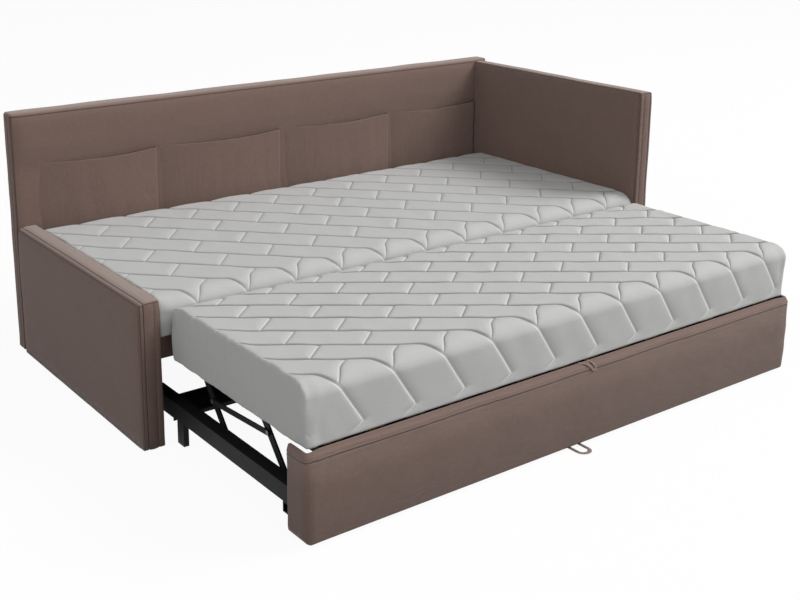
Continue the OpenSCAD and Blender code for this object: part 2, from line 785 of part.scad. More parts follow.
// The cover wraps the board's face, ends and top edge. Its lower corners are round
module front_panel_cover() {
    h = panel_top - panel_z;
    seam_drop = 14;
    color(FABRIC) difference() {
        intersection() {
            translate([0, face_y, panel_z]) linear_extrude(h) union() {
                translate([0, panel_t / 2]) rounded(2 * panel_x, panel_t, edge_r);
                translate([-panel_x + edge_r, panel_t / 2])
                    square([2 * (panel_x - edge_r), panel_t / 2]);
                for (s = [-1, 1]) translate([s * (panel_x - wing_t / 2) - wing_t / 2, edge_r])
                    square([wing_t, wing_d - edge_r]);
            }
            translate([0, face_y + wing_d + 1, panel_z + h / 2]) rotate([90, 0, 0])
                linear_extrude(wing_d + 2) {
                    rounded(2 * panel_x, h, panel_corner);
                    translate([-panel_x + edge_r, h / 2 - panel_corner])
                        square([2 * (panel_x - edge_r), panel_corner]);
                    translate([-panel_x, h / 2 - edge_r - panel_corner])
                        square([2 * panel_x, panel_corner]);
                }
            translate([-panel_x - 1, face_y + wing_d / 2, panel_z]) rotate([90, 0, 90])
                linear_extrude(2 * panel_x + 2) arch(wing_d, h, edge_r);
        }
        panel_core(1);
        translate([-panel_x - 1, face_y - eps, panel_top - seam_drop])
            cube([2 * panel_x + 2, seam_d + eps, seam_w]);
    }
}

// Angles that fasten the board to the beams
panel_bracket_l = 70;

module panel_brackets() {
    color(ZINC) for (s = [-1, 1]) side(s) {
        translate([beam_in_x - plate_t, board_rear_y, beam_z]) cube([plate_t, panel_bracket_l, beam_h]);
        translate([beam_in_x - bracket_w, board_rear_y, beam_z])
            cube([bracket_w - plate_t + eps, plate_t, beam_h]);
    }
}

module panel_bolts() {
    x = beam_in_x - plate_t - 4;
    color(ZINC) for (s = [-1, 1]) side(s) {
        for (z = [0.3, 0.7])
            translate([beam_in_x - bracket_w * 0.6, board_rear_y + plate_t, beam_z + beam_h * z])
                rotate([-90, 0, 0]) cylinder(r = bolt_r, h = 4, $fn = 6);
        for (y = [0.4, 0.77])
            translate([x, board_rear_y + panel_bracket_l * y, beam_z + beam_h / 2])
                rotate([0, 90, 0]) cylinder(r = bolt_r, h = 4, $fn = 6);
    }
}

// The floor loop: a flat strap bent into a loop in plan, under the panel and out in front
module floor_loop() {
    r = loop_w / 2;
    reach = loop_out + panel_t;
    color(STRAP) translate([floor_loop_x, board_rear_y, panel_z - strap_t])
        linear_extrude(strap_t) difference() {
            intersection() {
                translate([-r, -reach]) square([2 * r, reach]);
                union() {
                    translate([0, -reach + r]) circle(r, $fn = fine);
                    translate([-r, -reach + r]) square([2 * r, reach]);
                }
            }
            translate([0, -reach + r]) circle(r - strap_w, $fn = fine);
            translate([-r + strap_w, -reach + r]) square([2 * (r - strap_w), reach]);
        }
}

// The upper loop: two straps over the panel's top edge, and the arc that joins them in front
module lift_loop() {
    r = loop_w / 2;
    rise = r * 0.55;
    chord = sqrt(r * r - rise * rise);
    edge = [face_y + edge_r, panel_top - edge_r];
    color(STRAP) translate([lift_loop_x, edge[0], edge[1]]) {
        for (x = [-chord, chord - strap_w]) translate([x, 0, 0]) rotate([90, 0, 90])
            linear_extrude(strap_w) {
                translate([0, edge_r]) square([panel_t - edge_r - 2, strap_t]);
                intersection() {
                    difference() {
                        circle(edge_r + strap_t, $fn = fine);
                        circle(edge_r, $fn = fine);
                    }
                    translate([-edge_r - strap_t, 0]) square(edge_r + strap_t);
                }
            }
        translate([0, -edge_r, 0]) rotate([90, 0, 0]) linear_extrude(strap_t) intersection() {
            translate([0, rise]) difference() {
                circle(r, $fn = fine);
                circle(r - strap_w, $fn = fine);
            }
            translate([-r, -r]) square([2 * r, r]);
        }
    }
}

left_arm_frame();
left_arm_cover();
right_end_frame();
right_end_cover();
back_frame();
back_cover();
outer_left_back_pad();
inner_left_back_pad();
inner_right_back_pad();
outer_right_back_pad();
front_rail_board();
front_rail_cover();
front_ledger();
rear_ledger();
centre_beam();
main_slats();
main_mattress();
panel_glides();
corner_brackets();
corner_bolts();
left_beam();
right_beam();
front_cross_tube();
rear_cross_member();
left_leg();
right_leg();
leg_feet();
beam_caps();
base_brackets();
base_pins();
roller_forks();
roller_axles();
left_roller();
right_roller();
stop_pads();
front_panel_board();
front_panel_cover();
panel_brackets();
panel_bolts();
floor_loop();
left_front_arm();
right_front_arm();
left_rear_arm();
right_rear_arm();
left_coupling_bar();
right_coupling_bar();
coupling_pins();
lift_front_rail();
lift_rear_rail();
left_lift_rail();
right_lift_rail();
lift_centre_rail();
lift_slats();
top_pins();
pop_up_mattress();
lift_loop();
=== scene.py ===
"""Upholstered day bed with a second bed that rolls out and pops up beside it.

Everything is in metres: X along the bed, Y from the front to the back, Z up.
"""
import json
import math

import bmesh
import bpy
import numpy as np
from mathutils import Matrix, Vector


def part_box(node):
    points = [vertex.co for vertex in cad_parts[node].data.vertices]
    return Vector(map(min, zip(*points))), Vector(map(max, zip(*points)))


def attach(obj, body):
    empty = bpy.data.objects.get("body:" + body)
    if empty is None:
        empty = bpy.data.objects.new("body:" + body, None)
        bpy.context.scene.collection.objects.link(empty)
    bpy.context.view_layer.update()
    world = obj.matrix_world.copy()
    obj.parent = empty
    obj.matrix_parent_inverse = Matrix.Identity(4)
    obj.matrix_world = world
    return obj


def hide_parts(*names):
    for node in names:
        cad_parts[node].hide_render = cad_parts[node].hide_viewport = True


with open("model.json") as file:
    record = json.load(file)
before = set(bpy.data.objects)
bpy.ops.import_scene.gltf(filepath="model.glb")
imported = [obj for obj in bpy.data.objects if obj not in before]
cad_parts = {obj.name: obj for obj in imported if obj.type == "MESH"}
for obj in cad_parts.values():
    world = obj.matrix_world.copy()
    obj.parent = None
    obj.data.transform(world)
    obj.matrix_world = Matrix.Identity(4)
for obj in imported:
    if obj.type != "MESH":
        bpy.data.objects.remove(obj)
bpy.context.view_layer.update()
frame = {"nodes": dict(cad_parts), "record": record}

NODES = frame["nodes"]
SLOT_OF = {part["node"]: part["material_slot"] for part in frame["record"]["subparts"]}


# Camera

IMAGE_W = 800
IMAGE_H = 600
SENSOR_MM = 36
FOCAL_PX = 1211.0
EYE = Vector((-2.4678, -3.0933, 1.6642))
TURN = 0.6223
TILT = 0.2535
CENTRE_X_PX = 350
CENTRE_Y_PX = 180


def make_camera():
    data = bpy.data.cameras.new("camera")
    data.sensor_width = SENSOR_MM
    data.lens = FOCAL_PX / IMAGE_W * SENSOR_MM
    data.shift_x = (IMAGE_W / 2 - CENTRE_X_PX) / IMAGE_W
    data.shift_y = (CENTRE_Y_PX - IMAGE_H / 2) / IMAGE_W
    camera = bpy.data.objects.new("camera", data)
    camera.location = EYE
    camera.rotation_euler = (math.pi / 2 - TILT, 0, -TURN)
    bpy.context.scene.collection.objects.link(camera)
    bpy.context.scene.camera = camera


make_camera()


# Shader maths

class Term:
    """A value in a material's node tree that takes part in sums."""

    def __init__(self, paint, socket):
        self.paint = paint
        self.socket = socket

    def _math(self, operation, first, second):
        return self.paint.node("ShaderNodeMath", {0: first, 1: second}, operation=operation)

    def __add__(self, other):
        return self._math("ADD", self, other)

    def __radd__(self, other):
        return self._math("ADD", other, self)

    def __sub__(self, other):
        return self._math("SUBTRACT", self, other)

    def __rsub__(self, other):
        return self._math("SUBTRACT", other, self)

    def __mul__(self, other):
        return self._math("MULTIPLY", self, other)

    def __rmul__(self, other):
        return self._math("MULTIPLY", other, self)

    def sine(self):
        return self.paint.node("ShaderNodeMath", {0: self}, operation="SINE")

    def clipped(self):
        return self.paint.node("ShaderNodeClamp", {"Value": self})


class Paint:
    """A material with one principled shader, and the nodes that feed it."""

    def __init__(self, name, **shader_values):
        self.material = bpy.data.materials.new(name)
        self.material.use_nodes = True
        self.tree = self.material.node_tree
        self.shader = self.tree.nodes["Principled BSDF"]
        for socket, value in shader_values.items():
            self.shader.inputs[socket.replace("_", " ")].default_value = value

    def node(self, kind, inputs=None, out=0, stops=None, **settings):
        """Adds a node: its settings first, then its sockets' values or links."""
        made = self.tree.nodes.new(kind)
        for setting, value in settings.items():
            setattr(made, setting, value)
        if stops:
            ramp = made.color_ramp
            while len(ramp.elements) < len(stops):
                ramp.elements.new(0.5)
            for element, (place, colour) in zip(ramp.elements, stops):
                element.position = place
                element.color = (*colour, 1)
        for socket, value in (inputs or {}).items():
            self.link(value, made.inputs[socket])
        return Term(self, made.outputs[out])

    def link(self, value, socket):
        if isinstance(value, Term):
            self.tree.links.new(value.socket, socket)
        elif socket.type == "RGBA":
            socket.default_value = (*value, 1)
        else:
            socket.default_value = value

    def place(self, scale=(1, 1, 1)):
        """Object coordinates, scaled."""
        coordinate = self.node("ShaderNodeTexCoord", out="Object")
        return self.node("ShaderNodeMapping", {"Vector": coordinate, "Scale": scale})

    def noise(self, size, detail=2, scale=(1, 1, 1), roughness=0.5):
        """Noise between 0 and 1, with features about size metres across."""
        return self.node("ShaderNodeTexNoise", {"Vector": self.place(scale), "Scale": 1 / size,
                                                "Detail": detail, "Roughness": roughness})

    def mix(self, factor, first, second):
        """A colour between first and second."""
        made = self.tree.nodes.new("ShaderNodeMix")
        made.data_type = "RGBA"
        for socket, value in ((0, factor), (6, first), (7, second)):
            self.link(value, made.inputs[socket])
        return Term(self, made.outputs[2])

    def hump(self, value, centre, half_width):
        """1 where the value equals centre, falling to 0 at half_width from it."""
        offset = (value - centre) * (1 / half_width)
        return (1 - offset * offset).clipped()

    def attribute(self, name):
        return self.node("ShaderNodeAttribute", out="Fac", attribute_name=name)

    def colour(self, value):
        self.link(value, self.shader.inputs["Base Color"])

    def rough(self, value):
        self.link(value, self.shader.inputs["Roughness"])

    def bump(self, height, depth, strength=1.0):
        """Raises the surface by height times depth metres."""
        bumped = self.node("ShaderNodeBump", {"Height": height, "Distance": depth, "Strength": strength})
        self.link(bumped, self.shader.inputs["Normal"])


# Materials

TAUPE = (0.190, 0.126, 0.105)
PAINTED_TOP_LIGHT_TAUPE = (0.300, 0.222, 0.192)
KNIT_DARK = (0.470, 0.471, 0.466)
KNIT_LIGHT = (0.515, 0.516, 0.510)
SEAM_SHADE = (0.20, 0.20, 0.196)
SEAM_LIT = (0.80, 0.80, 0.795)


def tint(colour, factor):
    return tuple(channel * factor for channel in colour)


def weave_height(paint, thread):
    """A plain weave on every upright or level face: warp and weft threads that cross."""
    parts = paint.node("ShaderNodeSeparateXYZ", {0: paint.place()})
    axes = [Term(paint, parts.socket.node.outputs[k]) for k in range(3)]
    wobble = paint.noise(0.012, 1) * 0.9
    x, y, z = [(axis * (math.pi / thread) + wobble).sine() for axis in axes]
    return (x * z + y * z + x * y) * 0.5 + 0.5


def upholstery():
    """Flat woven taupe cloth with slubs along both threads.

    It is painted paler where it lies level, as painted light, and painted dark in its seams, as painted
    shade."""
    paint = Paint("taupe_weave", Roughness=0.88, Sheen_Weight=0.32, Sheen_Roughness=0.4,
                  Specular_IOR_Level=0.25)
    weft = paint.noise(0.024, 3, scale=(1, 1, 10))
    warp = paint.noise(0.024, 3, scale=(9, 9, 1))
    cloudy = paint.noise(0.16, 2)
    yarn = paint.noise(0.0035, 2)
    slubs = (weft * 0.34 + warp * 0.34 + yarn * 0.32 - 0.5) * 2.3 + 0.5
    tone = paint.mix(slubs.clipped(), tint(TAUPE, 0.80), tint(TAUPE, 1.20))
    cloth = paint.mix((cloudy * 0.5).clipped(), tone, tint(TAUPE, 0.95))
    # Painted light: faces that lie level are mixed towards a paler taupe
    top_lit_cloth = paint.mix(paint.attribute("level"), cloth, PAINTED_TOP_LIGHT_TAUPE)
    # Painted shade: seams and recesses are mixed towards a near black taupe
    paint.colour(paint.mix(paint.attribute("painted_shade") * 0.8, top_lit_cloth, tint(TAUPE, 0.16)))
    paint.rough(0.82 + yarn * 0.14)
    paint.bump(weave_height(paint, 0.0016) * 0.6 + slubs * 0.5, 0.0007)
    return paint.material


def knit():
    """Light grey mattress knit. Each seam has a line of painted shade on one side and a painted highlight on
    the other.
    """
    paint = Paint("grey_knit", Roughness=0.8, Sheen_Weight=0.15, Sheen_Roughness=0.45,
                  Specular_IOR_Level=0.25)
    loops = paint.node("ShaderNodeTexVoronoi", {"Vector": paint.place(), "Scale": 1 / 0.0022})
    ribs = paint.noise(0.02, 2, scale=(1, 9, 9))
    clouds = paint.noise(0.2, 2)
    soft = paint.mix((ribs * 0.7 + clouds * 0.5 - 0.1).clipped(), KNIT_DARK, KNIT_LIGHT)
    long_mm, cross_mm = paint.attribute("long_mm"), paint.attribute("cross_mm")
    long_near, cross_near = paint.attribute("long_near"), paint.attribute("cross_near")
    # Painted shade along one side of each seam line, and a painted highlight along the other
    shaded = (paint.hump(long_mm, 3.2, 6.2) * long_near
              + paint.hump(cross_mm, 1.2, 2.6) * cross_near).clipped()
    lit = (paint.hump(long_mm, -3.4, 3.4) * long_near
           + paint.hump(cross_mm, -3.6, 4.0) * cross_near).clipped()
    paler = paint.mix(lit * paint.attribute("lit"), soft, SEAM_LIT)
    paint.colour(paint.mix(shaded * paint.attribute("shaded"), paler, SEAM_SHADE))
    paint.rough(0.74 + loops * 0.2)
    paint.bump(loops * 0.5 + ribs * 0.5, 0.0006)
    return paint.material


def wood():
    """Raw softwood: growth rings cut lengthwise, with fine pores."""
    paint = Paint("raw_softwood", Roughness=0.6)
    rings = paint.noise(0.020, 4, scale=(0.6, 0.25, 2.2), roughness=0.6)
    fibre = paint.noise(0.0022, 2, scale=(1, 0.06, 1))
    grain = paint.node("ShaderNodeValToRGB", {"Fac": rings}, stops=[
        (0.30, (0.74, 0.52, 0.31)), (0.48, (0.66, 0.43, 0.23)), (0.55, (0.50, 0.29, 0.14)),
        (0.60, (0.68, 0.45, 0.25)), (0.75, (0.76, 0.55, 0.34))])
    paint.colour(paint.mix(fibre * 0.35, grain, (0.45, 0.27, 0.13)))
    paint.rough(0.52 + fibre * 0.2)
    paint.bump(fibre * 0.6 + rings * 0.4, 0.0003)
    return paint.material


def powder_coat():
    """Satin black powder coat with its faint orange peel, rubbed a little paler on the high spots."""
    paint = Paint("black_powder_coat", Roughness=0.6, Specular_IOR_Level=0.14)
    peel = paint.noise(0.0016, 2)
    handled = paint.noise(0.09, 3)
    paint.colour(paint.mix((handled * 2 - 0.7).clipped(), (0.0060, 0.0060, 0.0064), (0.011, 0.011, 0.0115)))
    paint.rough(0.48 + handled * 0.16)
    paint.bump(peel, 0.0002)
    return paint.material


def zinc():
    """Zinc plate with a faint yellow and blue bloom."""
    paint = Paint("zinc_plate", Metallic=1.0, Roughness=0.32)
    bloom = paint.noise(0.012, 3)
    turned = paint.noise(0.0012, 1, scale=(6, 1, 1))
    paint.colour(paint.mix(bloom, (0.13, 0.135, 0.145), (0.17, 0.165, 0.15)))
    paint.rough(0.30 + turned * 0.18)
    paint.bump(turned, 0.0001)
    return paint.material


def moulded(name, dark, light, roughness, grain):
    """Fine-grained moulded plastic or rubber."""
    paint = Paint(name, Roughness=roughness, Specular_IOR_Level=0.4)
    fine = paint.noise(grain, 2)
    scuffs = paint.noise(0.02, 3)
    paint.colour(paint.mix((scuffs * 1.6 - 0.3).clipped(), dark, light))
    paint.rough(roughness - 0.06 + fine * 0.12)
    paint.bump(fine, 0.0002)
    return paint.material


def webbing():
    """Woven tape with ribs across it."""
    paint = Paint("taupe_tape", Roughness=0.8, Sheen_Weight=0.1, Specular_IOR_Level=0.3)
    ribs = weave_height(paint, 0.0012)
    wear = paint.noise(0.006, 2)
    paint.colour(paint.mix(ribs * 0.6 + wear * 0.4, (0.185, 0.134, 0.112), (0.400, 0.305, 0.265)))
    paint.bump(ribs, 0.0005)
    return paint.material


FINISH = {
    "upholstery": upholstery(),
    "mattress_fabric": knit(),
    "wood": wood(),
    "black_steel": powder_coat(),
    "zinc_steel": zinc(),
    "black_plastic": moulded("black_plastic", (0.014, 0.014, 0.015), (0.026, 0.026, 0.027), 0.5, 0.0009),
    "roller_rubber": moulded("grey_rubber", (0.020, 0.020, 0.020), (0.045, 0.044, 0.042), 0.7, 0.0006),
    "strap": webbing(),
}


# Making pieces

def finish_piece(name, bm, body, replaced, slot):
    """Turns a bmesh into a smooth piece that rides on body and stands for the replaced nodes."""
    mesh = bpy.data.meshes.new(name)
    bm.to_mesh(mesh)
    bm.free()
    mesh.shade_smooth()
    piece = bpy.data.objects.new(name, mesh)
    bpy.context.scene.collection.objects.link(piece)
    mesh.materials.append(FINISH[slot])
    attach(piece, body)
    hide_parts(*replaced)
    return piece


def positions(mesh):
    flat = np.empty(len(mesh.vertices) * 3)
    mesh.vertices.foreach_get("co", flat)
    return flat.reshape(-1, 3)


def set_positions(mesh, points):
    mesh.vertices.foreach_set("co", points.astype(np.float32).ravel())
    mesh.update()


def normals(mesh):
    flat = np.empty(len(mesh.vertices) * 3, np.float32)
    mesh.vertices.foreach_get("normal", flat)
    return flat.reshape(-1, 3).astype(float)


def set_attribute(piece, name, values):
    attribute = piece.data.attributes.new(name, "FLOAT", "POINT")
    attribute.data.foreach_set("value", values.astype(np.float32))


def smooth_step(value):
    value = np.clip(value, 0, 1)
    return value * value * (3 - 2 * value)


def bell(value, width):
    """1 at nought, falling away on both sides over about width."""
    return np.exp(-(value / width) ** 2)


def soft_noise(points, size, seed, terms=14):
    """Smooth noise between about -1 and 1, as a sum of seeded waves about size metres long."""
    random = np.random.default_rng(seed)
    total = np.zeros(len(points))
    for _ in range(terms):
        direction = random.normal(size=3)
        direction /= np.linalg.norm(direction)
        wave = 2 * math.pi / (size * random.uniform(0.7, 1.6))
        total += np.sin(points @ direction * wave + random.uniform(0, 2 * math.pi))
    return total / math.sqrt(terms)


def gridded_box(low, high, cell):
    """A closed box whose six sides are even grids of about cell metres."""
    bm = bmesh.new()
    size = high - low
    middle = (high + low) / 2
    counts = [max(1, round(length / cell)) for length in size]
    for axis in range(3):
        u, v = (axis + 1) % 3, (axis + 2) % 3
        for sign in (-1, 1):
            matrix = Matrix.Identity(4)
            for column, (direction, length) in enumerate(((u, size[u]), (v, size[v]), (axis, sign))):
                for row in range(3):
                    matrix[row][column] = length if row == direction else 0
            matrix.translation = middle + Vector([sign * size[k] / 2 if k == axis else 0 for k in range(3)])
            bmesh.ops.create_grid(bm, x_segments=counts[u], y_segments=counts[v], size=0.5, matrix=matrix)
    bmesh.ops.remove_doubles(bm, verts=bm.verts, dist=cell * 0.02)
    bmesh.ops.recalc_face_normals(bm, faces=bm.faces)
    return bm


# Quilted mattresses

EDGE_ACROSS = 0.055
EDGE_DOWN = 0.044
END_R = 0.008
EDGE_RATE = 1.25
BEND_RATE = 0.52
SIDE_RATE = 0.48
LOW_RATE = 1.4

class Quilting:
    """Slanting long lines, and cross lines that part them like bricks.

    start is one point where a cross line leaves a long line. From it, the pattern repeats run along X
    and rise along Y. A cross line falls by cross_slope for each metre to the left.
    """

    def __init__(self, start, run, rise, cross_slope):
        self.start = start
        self.run = run
        self.rise = rise
        self.slope = rise / run
        self.cross_slope = cross_slope

    def to_lines(self, x, y):
        """Signed steps along X to the nearest long line and to the nearest cross line."""
        x = x - self.start[0]
        y = y - self.start[1]
        long_sum = x + y / self.slope
        strip = np.floor(-long_sum / self.run)
        cross_sum = x - y / self.cross_slope - strip * self.rise / self.cross_slope
        span = self.run + self.rise / self.cross_slope
        return (long_sum - self.run * np.round(long_sum / self.run),
                cross_sum - span * np.round(cross_sum / span))


def across_line(step, rate, slope):
    """The distance from a line of that slope, where step is the distance along X."""
    return step / np.sqrt(1 + (rate / slope) ** 2)


def dip(distance, width, fullness):
    """1 on a line of stitches, falling to 0 at width from it."""
    return (1 - np.clip(distance / width, 0, 1)) ** fullness


class Slab:
    """The rounded shape of a mattress: a wide upper edge all along it, and tighter ones elsewhere."""

    def __init__(self, low, high):
        self.low = low
        self.high = high
        self.angles = np.linspace(0, math.pi / 2, 91)
        step = self.angles[1]
        middles = self.angles[1:] - step / 2
        speeds = np.hypot(EDGE_ACROSS * np.cos(middles), EDGE_DOWN * np.sin(middles))
        self.arcs = np.concatenate([[0], np.cumsum(speeds * step)])

    def place(self, points):
        """Rounds points of the plain box.

        Gives places, normals, and distances past the long edges and the ends. Both distances are negative
        on the flat top, where they tell how far away the edge is."""
        upper = points[:, 2] > (self.low[2] + self.high[2]) / 2
        size = np.column_stack([np.where(upper, EDGE_ACROSS, END_R), np.where(upper, EDGE_DOWN, END_R)])
        near, far = self.low[1] + size[:, 0], self.high[1] - size[:, 0]
        top = self.high[2] - EDGE_DOWN
        core = np.column_stack([np.clip(points[:, 1], near, far),
                                np.clip(points[:, 2], self.low[2] + END_R, top)])
        out = (points[:, 1:] - core) / size
        length = np.linalg.norm(out, axis=1)
        direction = out / np.maximum(length, 1e-9)[:, None]
        share = np.clip(length * np.maximum(np.abs(direction).max(axis=1), 1e-9), 0, 1)
        radius = np.maximum(np.linalg.norm(direction * size, axis=1), END_R)
        inward = radius * (1 - share)

        middle = (self.low[0] + self.high[0]) / 2
        half = (self.high[0] - self.low[0]) / 2
        side = np.where(points[:, 0] < middle, -1, 1)
        along = np.abs(points[:, 0] - middle)
        to_end = half - along
        on_end = to_end < 1e-6
        angle = np.where(on_end, np.arctan2(END_R, np.maximum(END_R - inward, 0)),
                         np.arctan2(np.maximum(END_R - to_end, 0), END_R))
        radial = np.where(on_end & (inward >= END_R), share, 1 - END_R / radius * (1 - np.cos(angle)))
        x = middle + side * (np.minimum(along, half - END_R) + END_R * np.sin(angle))
        places = np.column_stack([x, core + direction * size * radial[:, None]])
        facing = direction / size
        facing /= np.maximum(np.linalg.norm(facing, axis=1), 1e-9)[:, None]
        outward = np.column_stack([side * np.sin(angle), facing * np.cos(angle)[:, None]])

        lean = np.arctan2(np.abs(direction[:, 0]), direction[:, 1])
        to_edge = np.minimum(points[:, 1] - near, far - points[:, 1])
        bend = (np.interp(np.minimum(lean, math.pi / 2), self.angles, self.arcs)
                + END_R * np.maximum(lean - math.pi / 2, 0))
        past_edge = np.where(lean > 1e-6, bend + top - core[:, 1], -np.maximum(to_edge, 0))
        past_end = np.where(angle > 1e-6, END_R * angle, END_R - to_end)
        return places, outward, past_edge, past_end


class Stretch:
    """How the pattern runs on down over an edge.

    The pattern is packed just before the bend, where the cloth slips over it, and stretched on the bend
    and down the side. Past low_side, where the cloth is tucked in, it is packed again."""

    def __init__(self, low_side):
        knots = ((-0.4, 1), (-0.045, 1), (-0.028, EDGE_RATE), (-0.012, EDGE_RATE), (0.016, BEND_RATE),
                 (0.060, BEND_RATE), (0.080, SIDE_RATE),
                 (low_side, SIDE_RATE), (low_side + 0.012, LOW_RATE), (0.5, LOW_RATE))
        self.past = np.linspace(-0.4, 0.5, 1801)
        self.rates = np.interp(self.past, *zip(*knots))
        steps = (self.rates[1:] + self.rates[:-1]) / 2 * (self.past[1] - self.past[0])
        self.reaches = np.concatenate([[0], np.cumsum(steps)]) - 0.4

    def __call__(self, past):
        return np.interp(past, self.past, self.reaches), np.interp(past, self.past, self.rates)


def quilted_mattress(name, node, body, quilting, cell, low_side, seed, long_depth, cross_depth, line_tone):
    low, high = (np.array(corner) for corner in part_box(node))
    bm = gridded_box(Vector(low), Vector(high), cell)
    piece = finish_piece(name, bm, body, [node], "mattress_fabric")
    flat = positions(piece.data)
    slab = Slab(low, high)
    stretch = Stretch(low_side)
    middle_y = (low[1] + high[1]) / 2

    def gaps(points):
        """Steps along X to the nearest long and cross line, and the pattern's rate."""
        places, _, past_edge, past_end = slab.place(points)
        reach, rate = stretch(past_edge)
        y = np.where(points[:, 1] < middle_y, low[1] + EDGE_ACROSS - reach, high[1] - EDGE_ACROSS + reach)
        return (*quilting.to_lines(places[:, 0], y), rate, past_edge, past_end)

    # Rows of points are drawn onto the nearest line, so that the stitching runs clean
    for is_long in (True, False):
        to_long, to_cross, rate, past_edge, past_end = gaps(flat)
        slope = quilting.slope if is_long else -quilting.cross_slope
        step = to_long if is_long else to_cross
        spread = 1 + (rate / slope) ** 2
        near = (np.abs(step) / np.sqrt(spread) < cell * (0.5 if is_long else 0.42)) & (past_end < -cell)
        if not is_long:
            near &= across_line(np.abs(to_long), rate, quilting.slope) > cell * 0.6
        level = near & (past_edge < -cell)
        flat[level, 0] -= (step / spread)[level]
        flat[level, 1] -= (step / spread / slope)[level]
        steep = near & (past_edge >= -cell) & (flat[:, 2] > low[2] + 0.002)
        flat[steep, 0] -= np.clip(step, -cell, cell)[steep]

    to_long, to_cross, rate, _, _ = gaps(flat)
    places, outward, past_edge, past_end = slab.place(flat)
    long_gap = across_line(to_long, rate, quilting.slope)
    cross_gap = across_line(to_cross, rate, quilting.cross_slope)
    to_long, to_cross = np.abs(long_gap), np.abs(cross_gap)

    # Each brick of the pattern falls gently to its front and right seams, and starts steeply at the others
    upright = smooth_step((past_edge - 0.030) / 0.045)
    tucked = smooth_step((past_edge - low_side + 0.002) / 0.010)
    fading = np.exp(-np.maximum(past_edge - low_side, 0) / 0.018)
    off_ends = 1 - smooth_step((past_end + 0.006) / 0.018)
    quilted = off_ends * smooth_step((flat[:, 2] - low[2] - 0.002) / 0.02)
    flatter = 1 - 0.6 * smooth_step((past_end + 0.032) / 0.028)
    long_dip = np.where(long_gap > 0,
                        0.45 * dip(to_long, 0.050, 2) + 0.55 * dip(to_long, 0.017 + 0.010 * upright, 2),
                        0.35 * dip(to_long, 0.045, 2) + 0.65 * dip(to_long, 0.011, 1.8))
    cross_dip = np.where(cross_gap < 0, dip(to_cross, 0.026, 1.8),
                         0.35 * dip(to_cross, 0.030, 2) + 0.65 * dip(to_cross, 0.0095, 1.8))
    long_sink = long_depth * (1 - 0.42 * upright) * (1 - 0.85 * tucked) * long_dip
    sink = np.maximum(long_sink, cross_depth * fading * cross_dip)
    crumple = 0.0008 * soft_noise(places, 0.10, seed)

    # The plain ends hang in soft upright folds, gathered where the quilted top is sewn on
    height = (places[:, 2] - low[2]) / (high[2] - low[2])
    end_face = smooth_step((np.abs(outward[:, 0]) - 0.5) / 0.5)
    hang = places * np.array([1, 1, 0.16])
    gather = 0.5 + 0.9 * smooth_step((height - 0.45) / 0.5)
    fine_folds = np.abs(soft_noise(hang + 0.02 * places[:, [2, 0, 1]], 0.034, seed + 2))
    folds = gather * (0.0014 * soft_noise(hang, 0.075, seed + 1) + 0.0016 * fine_folds)
    bulge = 0.003 * np.sin(np.pi * np.clip(height, 0, 1))
    to_corner = np.minimum(places[:, 1] - low[1], high[1] - places[:, 1])
    corner = bell(np.maximum(to_corner, 0), 0.035) * smooth_step((past_end + 0.05) / 0.05)
    dents = 0.0026 * corner * soft_noise(places * np.array([1, 1, 0.6]), 0.055, seed + 3)
    lift = -sink * quilted * flatter + crumple + end_face * (folds + bulge) + dents
    lift = np.where(outward[:, 2] < -0.7, -0.001, lift)
    points = places + outward * lift[:, None]
    points[:, 2] = np.maximum(points[:, 2], low[2])
    set_positions(piece.data, points)

    # The shader paints shade and a highlight along the seams from these
    set_attribute(piece, "long_mm", np.clip(long_gap * 1000, -20, 20))
    set_attribute(piece, "cross_mm", np.clip(cross_gap * 1000, -20, 20))
    set_attribute(piece, "long_near", np.clip(3 - to_long / 0.006, 0, 1) * (1 - tucked))
    off_long = np.clip(to_long / 0.004 - 0.5, 0, 1)
    set_attribute(piece, "cross_near", np.clip(3 - to_cross / 0.006, 0, 1) * off_long * fading)
    # shaded and lit set how strong the painted shade and the painted highlight are
    set_attribute(piece, "shaded", quilted * line_tone[0] * (1 - 0.75 * upright))
    set_attribute(piece, "lit", quilted * line_tone[1] * (0.45 + 0.55 * upright))


pop_up_quilting = Quilting(start=(-0.7827, -0.2424), run=0.171, rise=0.1222, cross_slope=0.856)
main_quilting = Quilting(start=(-0.7895, 0.1648), run=0.1735, rise=0.1714, cross_slope=1.10)
quilted_mattress("pop_up_mattress_cover", "pop_up_mattress", "lift_frame", pop_up_quilting,
                 cell=0.0044, low_side=0.176, seed=11, long_depth=0.0090, cross_depth=0.0062,
                 line_tone=(0.9, 0.75))
quilted_mattress("main_mattress_cover", "main_mattress", "bed", main_quilting,
                 cell=0.0052, low_side=0.3, seed=23, long_depth=0.0080, cross_depth=0.0056,
                 line_tone=(0.75, 0.6))


# Upholstered panels

PANEL_CELL = 0.035
PADS_TOP = 0.674
SEAM_HALF = 0.0018
ROLL_ACROSS = 0.032
ROLL_DOWN = 0.014


def cut(bm, axis, place):
    """Adds an edge loop all round where the axis has that value."""
    normal = [0, 0, 0]
    normal[axis] = 1
    point = [0, 0, 0]
    point[axis] = place
    bmesh.ops.bisect_plane(bm, geom=bm.verts[:] + bm.edges[:] + bm.faces[:], dist=1e-5,
                           plane_co=point, plane_no=normal)


